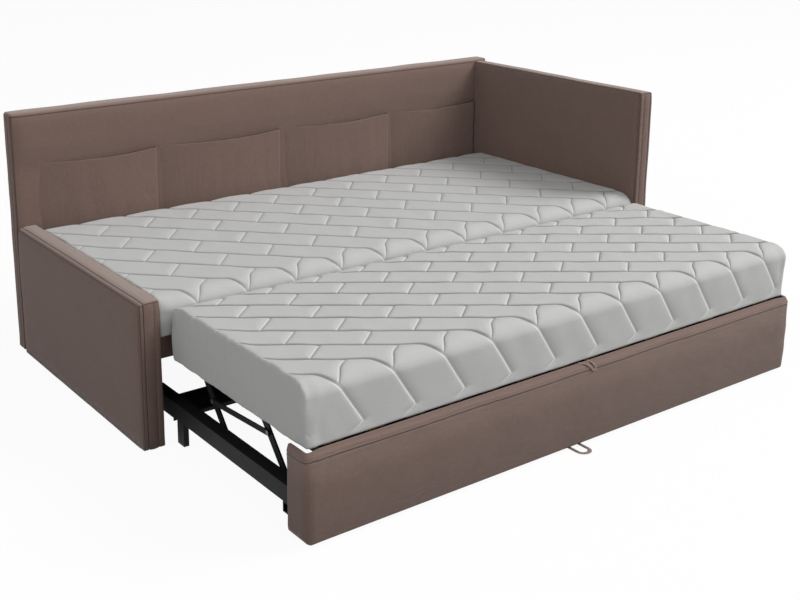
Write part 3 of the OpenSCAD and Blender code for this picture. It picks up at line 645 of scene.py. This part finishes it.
def rounded_box(low, high, radius, steps=4, keep_sharp=lambda a, b: False):
    """A box with rounded edges, apart from those that keep_sharp names by their two ends."""
    bm = bmesh.new()
    size = Vector(high) - Vector(low)
    matrix = Matrix.Translation((Vector(low) + Vector(high)) / 2) @ Matrix.Diagonal((*size, 1))
    bmesh.ops.create_cube(bm, size=1, matrix=matrix)
    edges = [e for e in bm.edges if not keep_sharp(e.verts[0].co, e.verts[1].co)]
    bmesh.ops.bevel(bm, geom=edges, offset=radius, segments=steps, profile=0.5, affect="EDGES", material=-1)
    return bm


class Seam:
    """A line of stitching on the faces that look along one axis: where another axis has a value."""

    def __init__(self, axis, place, faces, first, last, tone=1.0):
        self.axis = axis
        self.place = place
        self.faces = faces
        self.run = 3 - axis - faces
        self.first = first
        self.last = last
        self.tone = tone


def padded_panel(name, node, radius, seams, fullness, seed, sharp=None, puffed=None, roll=0, soft=0.12):
    """An upholstered block of the bed: rounded edges, faces that swell, and sewn seams.

    puffed gives the share of the swelling at each point. roll is the side, -1 or 1, whose top edge is
    rolled. The swelling dies away within soft metres of a face's border."""
    low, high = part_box(node)
    bm = rounded_box(low, high, radius, keep_sharp=sharp or (lambda a, b: max(a.z, b.z) < low.z + 1e-4))
    for axis in range(3):
        length = high[axis] - low[axis]
        count = max(2, round(length / PANEL_CELL))
        for k in range(1, count):
            cut(bm, axis, low[axis] + length * k / count)
    for seam in seams:
        for offset in (-2 * SEAM_HALF, -SEAM_HALF, 0, SEAM_HALF, 2 * SEAM_HALF):
            cut(bm, seam.axis, seam.place + offset)
    outer = low.x if roll < 0 else high.x
    for share in (0.08, 0.2, 0.35, 0.5, 0.65, 0.8, 1.0):
        if roll:
            cut(bm, 0, outer - roll * ROLL_ACROSS * share)
    bmesh.ops.remove_doubles(bm, verts=bm.verts, dist=0.0004)
    mesh = bpy.data.meshes.new(name)
    bm.to_mesh(mesh)
    points, outward = positions(mesh), normals(mesh)
    bpy.data.meshes.remove(mesh)
    lift = np.zeros(len(points))
    for axis in range(3):
        others = [k for k in range(3) if k != axis]
        swell = np.ones(len(points))
        for k in others:
            share = np.clip((points[:, k] - low[k]) / (high[k] - low[k]), 0, 1)
            short = min(1.0, soft / (high[k] - low[k]))
            swell *= 1 - dip(np.minimum(share, 1 - share), short, 2.2)
        lift += np.abs(outward[:, axis]) ** 3 * swell * fullness[axis]
    if puffed:
        lift *= puffed(points)
    lift += 0.0007 * soft_noise(points, 0.22, seed)
    shade = np.zeros(len(points))
    for seam in seams:
        along = points[:, seam.run]
        inside = (along > seam.first - 0.001) & (along < seam.last + 0.001)
        facing = np.clip((np.abs(outward[:, seam.faces]) - 0.2) / 0.5, 0, 1)
        gap = np.abs(points[:, seam.axis] - seam.place)
        lift -= inside * facing * (0.0022 * bell(gap, 0.0014) + 0.0016 * bell(gap, 0.010))
        # Painted shade: a dark line is painted in the colour along each seam
        shade = np.maximum(shade, seam.tone * inside * facing * bell(gap, 0.0012))
    points += outward * lift[:, None]
    # Painted light: faces that look up are painted paler, less so on the rolled edge
    level = np.clip(outward[:, 2], 0, 1) ** 1.5
    if roll:
        inward = np.clip(1 - np.abs(points[:, 0] - outer) / ROLL_ACROSS, 0, 1)
        points[:, 2] -= (ROLL_DOWN * (1 - np.sqrt(1 - inward ** 2))
                         * np.clip(1 - (high.z - points[:, 2]) / (5 * ROLL_DOWN), 0, 1))
        level *= 1 - inward
    for vertex, point in zip(bm.verts, points):
        vertex.co = point
    piece = finish_piece(name, bm, "bed", [node], "upholstery")
    set_attribute(piece, "painted_shade", shade)
    set_attribute(piece, "level", level)


def arm_seams(low, high, roll):
    """The seams that part an end panel's faces from its top and front strips.

    roll is its outer side, -1 or 1."""
    outer, inner = (low.x, high.x) if roll < 0 else (high.x, low.x)
    return [Seam(0, outer - roll * 0.017, 2, low.y + 0.004, high.y),
            Seam(2, high.z - 0.004, 0, low.y + 0.004, high.y, 0.7),
            Seam(1, low.y + 0.009, 0, low.z, high.z - 0.004, 0.7),
            Seam(2, high.z - 0.005, 1, low.x, high.x),
            Seam(0, outer - roll * 0.016, 1, low.z, high.z - 0.005),
            Seam(0, outer - roll * 0.004, 1, low.z, high.z - 0.005, 0.6),
            Seam(0, inner + roll * 0.003, 1, low.z, high.z - 0.005, 0.7),
            Seam(0, inner + roll * 0.023, 1, low.z, high.z - 0.005, 0.7 if roll > 0 else 0.0)]


for side, roll in (("left_arm", -1), ("right_end", 1)):
    node = side + "_cover"
    low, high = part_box(node)
    padded_panel(side + "_padding", node, 0.009, arm_seams(low, high, roll),
                 fullness=(0.0035, 0.001, 0.0015), seed=len(side), roll=roll)

low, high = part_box("back_cover")
back_seams = [Seam(2, high.z - 0.012, 1, low.x, high.x), Seam(0, low.x + 0.004, 1, low.z, high.z),
              Seam(1, low.y + 0.024, 0, low.z, high.z), Seam(1, high.y - 0.012, 0, low.z, high.z, 0.6)]
padded_panel("back_padding", "back_cover", 0.010, back_seams, fullness=(0.002, 0.009, 0.001), seed=5,
             soft=0.05, puffed=lambda points: smooth_step((points[:, 2] - PADS_TOP) / 0.05))

padded_panel("front_rail_padding", "front_rail_cover", 0.008, [], fullness=(0, 0.002, 0.001), seed=6,
             sharp=lambda a, b: abs(a.x - b.x) < 1e-4)


# Back pads

PAD_CELL = 0.007
PAD_GRID_DEPTH = 0.084
PAD_SINK = 0.0020
PAD_REAR_SINK = 0.006
PAD_SAG = 0.014
SLIT_DEPTH = 0.020


def back_pad(name, node, seed):
    """A pad like a slack pocket: sewn down at its left edge, proud at its right one, with a sagging rim.

    It is modelled deeper than it is, so that its rim has rows enough, and then pressed flat."""
    low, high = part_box(node)
    grid_high = Vector((high.x, low.y + PAD_GRID_DEPTH, high.z))
    bm = gridded_box(low, grid_high, PAD_CELL)
    piece = finish_piece(name, bm, "bed", [node], "upholstery")
    points = positions(piece.data)
    width, most = high.x - low.x, high.y - low.y
    across = np.clip((points[:, 0] - low.x) / width, 0, 1)
    up = (points[:, 2] - low.z) / (high.z - low.z)
    proud = 1 - (points[:, 1] - low.y) / PAD_GRID_DEPTH
    on_rim = up > 1 - 1e-6

    swell = 1 - (1 - across) ** 2.4 - 0.16 * smooth_step((across - 0.72) / 0.28)
    thick = -PAD_SINK + (most + PAD_SINK) * swell
    from_right = (1 - across) * width
    thick *= 0.12 + 0.88 * np.sqrt(np.clip(1 - (1 - np.clip(from_right / 0.009, 0, 1)) ** 2, 0, 1))
    edge_r = np.clip(0.4 * thick, 0.0001, 0.0022)
    open_w = np.maximum(thick - 2.2 * edge_r, 0.0006 * (thick > 0))
    slit = SLIT_DEPTH * smooth_step((thick - 0.003) / 0.006) * smooth_step(from_right / 0.02)

    # The rim, from the back to the front: the slit's two walls, then the cloth's thin rounded edge
    share = np.linspace(0, 1, 13)
    offsets = (0 * thick, np.minimum(0.0004, thick), np.minimum(0.0005, thick), np.minimum(0.0006, thick),
               0.5 * open_w, open_w, np.maximum(open_w, thick - 2.0 * edge_r), thick - 1.8 * edge_r,
               thick - 1.2 * edge_r, thick - 0.6 * edge_r, thick - 0.25 * edge_r,
               thick - 0.05 * edge_r, thick)
    drops = (0 * slit, 0.04 * slit, 0.4 * slit, slit, slit, slit, 0.4 * slit, 0.25 * edge_r, 0 * slit,
             0.15 * edge_r, 0.4 * edge_r, 0.8 * edge_r, 1.3 * edge_r)
    rim_offset, rim_drop = np.zeros(len(points)), np.zeros(len(points))
    for k in range(len(share) - 1):
        part = (proud >= share[k]) & (proud <= share[k + 1])
        step = (proud - share[k]) / (share[k + 1] - share[k])
        rim_offset = np.where(part, offsets[k] + (offsets[k + 1] - offsets[k]) * step, rim_offset)
        rim_drop = np.where(part, drops[k] + (drops[k + 1] - drops[k]) * step, rim_drop)
    foot = 0.35 + 0.65 * np.clip(up / 0.03, 0, 1) ** 0.5
    ripple = 0.0008 * soft_noise(points * np.array([1, 1, 0.4]), 0.10, seed) * np.clip(thick / 0.01, 0, 1)
    offset = np.where(on_rim, rim_offset, proud * (thick * foot + ripple))
    offset = np.where(proud < 1e-6, -PAD_REAR_SINK, offset)
    sag = PAD_SAG * np.sin(np.pi * across) * (0.6 + 0.4 * across)
    points[:, 1] = high.y - offset
    points[:, 2] += np.where(on_rim, -rim_drop, 0) - sag * up
    set_positions(piece.data, points)
    # Painted shade: inside the slit behind the rim, along the right seam, and darker towards the pad's left
    # edge
    in_slit = on_rim * (proud > 0.06) * (proud < 0.52 + 0.2 * (thick < 0.012)) * smooth_step(thick / 0.003)
    side_line = bell(from_right, 0.003) * (proud < 0.6)
    set_attribute(piece, "painted_shade", np.maximum(np.maximum(in_slit, side_line), 0.14 * (1 - across) ** 1.5))


for number, node in enumerate(("outer_left_back_pad", "inner_left_back_pad", "inner_right_back_pad",
                               "outer_right_back_pad")):
    back_pad(node.replace("pad", "cushion"), node, 40 + number)


# Front panel

PANEL_R = 0.020
WING_T = 0.014
BOARD_T = 0.021
LOWER_R = 0.024
PANEL_CROWN = 0.0095
PANEL_EDGE_R = 0.0085
PANEL_SWELL = 0.0045


def front_panel():
    """The padded panel: one long cushion whose two ends are folded back."""
    low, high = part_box("front_panel_cover")
    straight = high.x - PANEL_R
    arc = PANEL_R * math.pi / 2
    reach = straight + arc + (high.y - low.y) - PANEL_R
    flat_low, flat_high = np.array((-reach, 0, low.z)), np.array((reach, BOARD_T, high.z))
    bm = gridded_box(Vector(flat_low), Vector(flat_high), 0.012)
    seams = (high.z - 0.0075, high.z - 0.0145)
    for place in seams:
        for offset in (-0.004, -0.002, 0, 0.002, 0.004):
            cut(bm, 2, place + offset)
    for place in (0.0015, 0.003, 0.0055, 0.0085):
        for end, axis in ((low.z, 2), (high.z, 2), (-reach, 0), (reach, 0)):
            cut(bm, axis, end + place * (1 if end in (low.z, -reach) else -1))
    bmesh.ops.remove_doubles(bm, verts=bm.verts, dist=0.0003)
    piece = finish_piece("front_panel_padding", bm, "pull_out", ["front_panel_cover"], "upholstery")
    points = positions(piece.data)
    core = np.clip(points, flat_low + PANEL_EDGE_R, flat_high - PANEL_EDGE_R)
    out = points - core
    length = np.linalg.norm(out, axis=1)
    length[length == 0] = 1
    outward = out / length[:, None]
    share_z = (points[:, 2] - low.z) / (high.z - low.z)
    facing = np.clip(-outward[:, 1], 0, 1)
    swell = (PANEL_SWELL * smooth_step(np.minimum(share_z / 0.35, (0.94 - share_z) / 0.3))
             * smooth_step((reach - np.abs(points[:, 0])) / 0.15))
    ripple = (0.0010 * soft_noise(points * np.array([1, 1, 0.5]), 0.20, 8)
              + 0.0005 * soft_noise(points, 0.07, 9))
    corner = bell(np.abs(points[:, 0]) - straight, 0.05) * smooth_step((share_z - 0.55) / 0.4)
    gathers = 0.0013 * corner * np.sin(points[:, 0] * 2 * math.pi / 0.017 + 5 * share_z)
    lift = facing * (swell + ripple * smooth_step(share_z / 0.1) + gathers)
    # Each seam gets a line of painted shade in the colour
    shade = np.zeros(len(points))
    for place, tone in zip(seams, (0.15, 1.0)):
        gap = np.abs(points[:, 2] - place)
        lift -= facing * tone * (0.0026 * bell(gap, 0.0016) - 0.0009 * bell(gap - 0.0036, 0.002))
        shade = np.maximum(shade, tone * facing * bell(gap, 0.0013))
    surface = core + outward * (PANEL_EDGE_R + lift)[:, None]
    below = high.z - surface[:, 2]
    surface[:, 2] += 0.8 * below * (below < PANEL_EDGE_R) * smooth_step((surface[:, 1] - 0.008) / 0.004)
    along, deep = np.abs(surface[:, 0]), surface[:, 1]
    thick = BOARD_T + (WING_T - BOARD_T) * smooth_step((along - straight + 0.04) / 0.04)
    deep = np.where(deep > 0, deep * thick / BOARD_T, deep)
    turn = np.clip((along - straight) / PANEL_R, 0, math.pi / 2)
    run_on = np.maximum(along - straight - arc, 0)
    side_x = np.minimum(along, straight) + (PANEL_R - deep) * np.sin(turn)
    y = low.y + PANEL_R - (PANEL_R - deep) * np.cos(turn) + run_on
    crown = PANEL_CROWN * smooth_step((share_z - 0.9) / 0.08) * smooth_step(deep / 0.008)
    surface[:, 2] += crown
    rise = np.clip(LOWER_R - (surface[:, 2] - low.z), 0, LOWER_R)
    limit = high.x - (LOWER_R - np.sqrt(LOWER_R ** 2 - rise ** 2))
    side_x = np.minimum(side_x, limit)
    set_positions(piece.data, np.stack([np.sign(points[:, 0]) * side_x, y, surface[:, 2]], axis=1))
    # Painted shade: the panel gets darker towards its foot
    foot_shade = 0.26 * (1 - share_z) ** 1.3
    set_attribute(piece, "painted_shade", np.maximum(shade, foot_shade))
    # Painted light: the upper front face is painted paler
    set_attribute(piece, "level", 0.35 * facing * smooth_step((share_z - 0.55) / 0.45))


front_panel()


# Pull loops

FLOOR_TAPE_W = 0.013
LIFT_TAPE_HALF = 0.0038
LIFT_TAPE_T = 0.0012
OVER_CROWN = 0.0080

def strap_loop(name, node, body):
    """A flat tape bent into a loop: a half circle with two straight ends."""
    low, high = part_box(node)
    tape_w, tape_t = FLOOR_TAPE_W, high.z - low.z
    radius = (high.x - low.x) / 2 - tape_w / 2
    middle = Vector(((low.x + high.x) / 2, low.y + radius + tape_w / 2, (low.z + high.z) / 2))
    bm = bmesh.new()
    matrix = Matrix.Translation(middle + Vector((radius, 0, 0))) @ Matrix.Rotation(math.pi / 2, 4, "X")
    bmesh.ops.create_circle(bm, segments=16, radius=1, cap_ends=True, matrix=matrix @ Matrix.Diagonal(
        (tape_w / 2, tape_t / 2, 1, 1)))
    start = bm.faces[:]
    bmesh.ops.spin(bm, geom=bm.verts[:] + bm.edges[:] + start, cent=middle, axis=(0, 0, 1),
                   angle=-math.pi, steps=32, use_duplicate=False)
    ends = [f for f in bm.faces if abs(f.calc_center_median().y - middle.y) < 1e-4 and abs(f.normal.y) > 0.9]
    for face in ends:
        grown = bmesh.ops.extrude_face_region(bm, geom=[face])
        bmesh.ops.translate(bm, vec=(0, high.y - middle.y, 0),
                            verts=[g for g in grown["geom"] if isinstance(g, bmesh.types.BMVert)])
    bmesh.ops.recalc_face_normals(bm, faces=bm.faces)
    finish_piece(name, bm, body, [node], "strap")


def lift_pull_loop():
    """A tape that comes over the front panel's top edge, skewed, and hangs in a loop on its face.

    It starts to the left of its solid and above it, as in the photograph."""
    low, high = (np.array(corner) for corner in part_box("lift_loop"))
    top, face = high[2] + OVER_CROWN, low[1] + 0.0006
    lean, radius = 0.031, 0.0075
    inner, outer = low[0] - 0.018, high[0] - 0.011
    hang = low[2] + 0.003
    knots = [(inner, high[1], top), (inner + 0.35 * lean, face + 0.011, top - 0.0012),
             (inner + 0.7 * lean, face + 0.0045, top - 0.0060), (inner + lean, face, top - 0.013),
             (outer - 1.6 * radius, face - 0.0006, hang + 0.5 * radius),
             (outer - 0.8 * radius, face - 0.0008, hang),
             (outer - 0.1 * radius, face - 0.0006, hang + 0.6 * radius), (outer, face, hang + 1.4 * radius),
             (outer - 0.004, face, top - 0.013), (outer - 0.009, face + 0.0045, top - 0.0060),
             (outer - 0.013, face + 0.011, top - 0.0012), (outer - 0.018, high[1], top)]
    knots = np.array(knots)
    steps = np.concatenate([[0], np.cumsum(np.linalg.norm(np.diff(knots, axis=0), axis=1))])
    count, across = 96, 4
    share = np.linspace(0, steps[-1], count + 1)
    path = np.column_stack([np.interp(share, steps, knots[:, k]) for k in range(3)])
    for _ in range(8):
        path[1:-1] = (path[:-2] + 2 * path[1:-1] + path[2:]) / 4
    ahead = np.gradient(path, axis=0)
    ahead /= np.linalg.norm(ahead, axis=1)[:, None]
    over = smooth_step((path[:, 1] - face) / 0.006)
    up = np.column_stack([np.zeros(count + 1), over - 1, over])
    up /= np.linalg.norm(up, axis=1)[:, None]
    wide = np.cross(up, ahead)
    wide /= np.linalg.norm(wide, axis=1)[:, None]
    bm = bmesh.new()
    bmesh.ops.create_grid(bm, x_segments=count, y_segments=across, size=1)
    for vertex in bm.verts:
        k = round((vertex.co.x + 1) / 2 * count)
        bulge = 0.0002 * (1 - vertex.co.y ** 2)
        vertex.co = path[k] + wide[k] * vertex.co.y * LIFT_TAPE_HALF + up[k] * bulge
    bmesh.ops.recalc_face_normals(bm, faces=bm.faces)
    bmesh.ops.solidify(bm, geom=bm.faces[:], thickness=LIFT_TAPE_T)
    bmesh.ops.recalc_face_normals(bm, faces=bm.faces)
    finish_piece("lift_pull_loop", bm, "pull_out", ["lift_loop"], "strap")


strap_loop("floor_pull_loop", "floor_loop", "pull_out")
lift_pull_loop()


# Finishes of the frame's own parts

for name, part in NODES.items():
    part.data.materials.clear()
    part.data.materials.append(FINISH[SLOT_OF[name]])


# Floor and light

FLOOR_HALF = 30
WORLD_LEVEL = 0.36

def floor_material():
    """A pale floor that shows white to the camera and keeps the bed's shadow."""
    paint = Paint("pale_floor", Roughness=0.9, Specular_IOR_Level=0.1)
    path = paint.tree.nodes.new("ShaderNodeLightPath")
    seen = (Term(paint, path.outputs["Is Camera Ray"]) + Term(paint, path.outputs["Is Glossy Ray"])).clipped()
    speckle = paint.mix(paint.noise(0.4, 2), (0.37, 0.37, 0.37), (0.39, 0.39, 0.39))
    paint.colour(paint.mix(seen, speckle, (0.9, 0.9, 0.9)))
    glow = paint.tree.nodes.new("ShaderNodeEmission")
    glow.inputs["Strength"].default_value = 1.0
    blend = paint.tree.nodes.new("ShaderNodeMixShader")
    paint.link(seen * 0.94, blend.inputs["Fac"])
    paint.tree.links.new(paint.shader.outputs[0], blend.inputs[1])
    paint.tree.links.new(glow.outputs[0], blend.inputs[2])
    paint.tree.links.new(blend.outputs[0], paint.tree.nodes["Material Output"].inputs["Surface"])
    return paint.material


def make_floor():
    bm = bmesh.new()
    bmesh.ops.create_grid(bm, x_segments=1, y_segments=1, size=FLOOR_HALF)
    mesh = bpy.data.meshes.new("floor")
    bm.to_mesh(mesh)
    bm.free()
    mesh.materials.append(floor_material())
    floor = bpy.data.objects.new("floor", mesh)
    bpy.context.scene.collection.objects.link(floor)


def make_light(name, at, towards, size, power):
    data = bpy.data.lights.new(name, "AREA")
    data.shape = "DISK"
    data.size = size
    data.energy = power
    lamp = bpy.data.objects.new(name, data)
    lamp.location = at
    lamp.rotation_euler = (Vector(towards) - Vector(at)).to_track_quat("-Z", "Y").to_euler()
    bpy.context.scene.collection.objects.link(lamp)


def make_world():
    """White to the camera, to gloss and to glass, and a dimmer even light on everything else."""
    world = bpy.data.worlds.new("studio")
    world.use_nodes = True
    bpy.context.scene.world = world
    tree = world.node_tree
    path = tree.nodes.new("ShaderNodeLightPath")
    back = tree.nodes["Background"]
    seen = tree.nodes.new("ShaderNodeMath")
    seen.operation = "MAXIMUM"
    tree.links.new(path.outputs["Is Camera Ray"], seen.inputs[0])
    tree.links.new(path.outputs["Is Glossy Ray"], seen.inputs[1])
    more = tree.nodes.new("ShaderNodeMath")
    more.operation = "MAXIMUM"
    tree.links.new(seen.outputs[0], more.inputs[0])
    tree.links.new(path.outputs["Is Transmission Ray"], more.inputs[1])
    level = tree.nodes.new("ShaderNodeMapRange")
    level.inputs["To Min"].default_value = WORLD_LEVEL
    level.inputs["To Max"].default_value = 1.0
    tree.links.new(more.outputs[0], level.inputs["Value"])
    tree.links.new(level.outputs[0], back.inputs["Strength"])
    back.inputs["Color"].default_value = (1, 1, 1, 1)


make_floor()
make_world()
make_light("key", (8.8, -4.6, 9.8), (0, 0, 0.3), 7.0, 1380)
make_light("front", (1.5, -11.0, 5.4), (0, 0, 0.4), 6.0, 270)
make_light("left", (-5.4, -1.4, 3.6), (0, 0, 0.3), 3.0, 62)
bpy.context.scene.view_settings.view_transform = "Standard"
